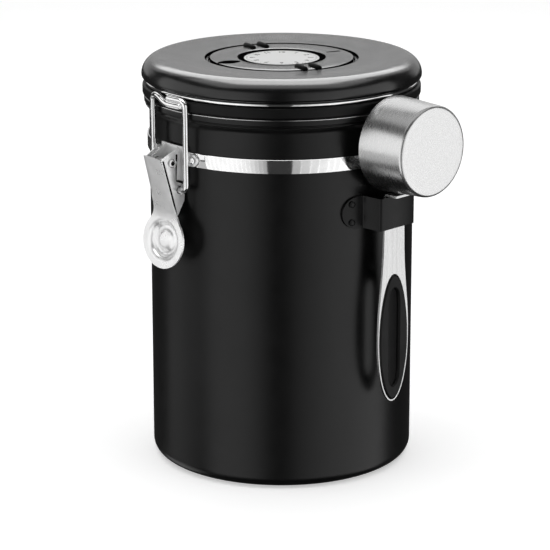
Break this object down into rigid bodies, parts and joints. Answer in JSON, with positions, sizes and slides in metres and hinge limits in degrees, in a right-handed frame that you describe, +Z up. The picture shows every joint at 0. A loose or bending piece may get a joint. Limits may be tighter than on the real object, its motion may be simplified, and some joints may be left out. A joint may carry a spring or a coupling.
{
  "type": "coffee canister",
  "caption": "Round clamp-lid coffee canister with a toggle latch, rear hinge, turning date ring, lid gas valve and a scoop hanging in a side bracket.",
  "frame": {"origin": "centre of the flat base, on the surface that the canister stands on", "axes": "+Z up along the canister's axis, -Y towards the toggle latch, +Y towards the lid hinge; the scoop hangs near +X"},
  "size_m": [0.1562, 0.1422, 0.1865],
  "materials": {
    "body_paint": "satin black powder coat",
    "lid_paint": "semi-gloss black coat",
    "polished_steel": "polished",
    "pressed_steel": "bright pressed sheet",
    "brushed_steel": "fine brushed",
    "black_plastic": "satin moulded",
    "dial_white": "matt",
    "valve_plastic": "matt",
    "silicone": "smooth"
  },
  "bodies": {
    "canister": {"canister_body": "body_paint", "neck_band": "polished_steel", "latch_anchor": "pressed_steel", "anchor_rivet_1": "polished_steel", "anchor_rivet_2": "polished_steel", "latch_pivot_pin": "polished_steel", "hinge_bracket": "pressed_steel", "hinge_rivet_1": "polished_steel", "hinge_rivet_2": "polished_steel", "scoop_bracket": "body_paint", "bracket_rivet_1": "body_paint", "bracket_rivet_2": "body_paint", "bracket_rivet_3": "body_paint", "bracket_rivet_4": "body_paint"},
    "lid": {"lid_cap": "lid_paint", "lid_wire_ring": "polished_steel", "lid_hook": "polished_steel", "lid_gasket": "silicone", "lid_liner": "black_plastic", "dial_bezel": "black_plastic", "dial_face": "dial_white", "valve_housing": "valve_plastic", "valve_cover": "valve_plastic"},
    "date_ring": {"date_ring": "black_plastic"},
    "valve_disc": {"valve_disc": "silicone"},
    "latch_lever": {"latch_lever": "pressed_steel"},
    "latch_link": {"latch_link": "polished_steel"},
    "scoop": {"scoop_cup": "brushed_steel", "scoop_handle": "brushed_steel", "handle_grip": "silicone"}
  },
  "joints": [
    {"name": "lid_hinge", "type": "hinge", "parent": "canister", "child": "lid", "pos_m": [0, 0.067, 0.1753], "axis": [-1, 0, 0], "range_deg": [0, 105]},
    {"name": "date_ring_turn", "type": "hinge", "parent": "lid", "child": "date_ring", "pos_m": [0, 0, 0.185], "axis": [0, 0, 1], "continuous": true},
    {"name": "valve_lift", "type": "slide", "parent": "lid", "child": "valve_disc", "axis": [0, 0, 1], "range_m": [0, 0.0008]},
    {"name": "latch_lever_pivot", "type": "hinge", "parent": "canister", "child": "latch_lever", "pos_m": [0, -0.0668, 0.1466], "axis": [-1, 0, 0], "range_deg": [0, 80]},
    {"name": "latch_link_pivot", "type": "hinge", "parent": "latch_lever", "child": "latch_link", "pos_m": [0, -0.0632, 0.1342], "axis": [-1, 0, 0], "range_deg": [-100, 0]},
    {"name": "scoop_lift", "type": "slide", "parent": "canister", "child": "scoop", "axis": [0, 0, 1], "range_m": [0, 0.11]}
  ],
  "couplings": [
    {"joint": "latch_link_pivot", "follows": "latch_lever_pivot", "ratio": -1.25}
  ]
}
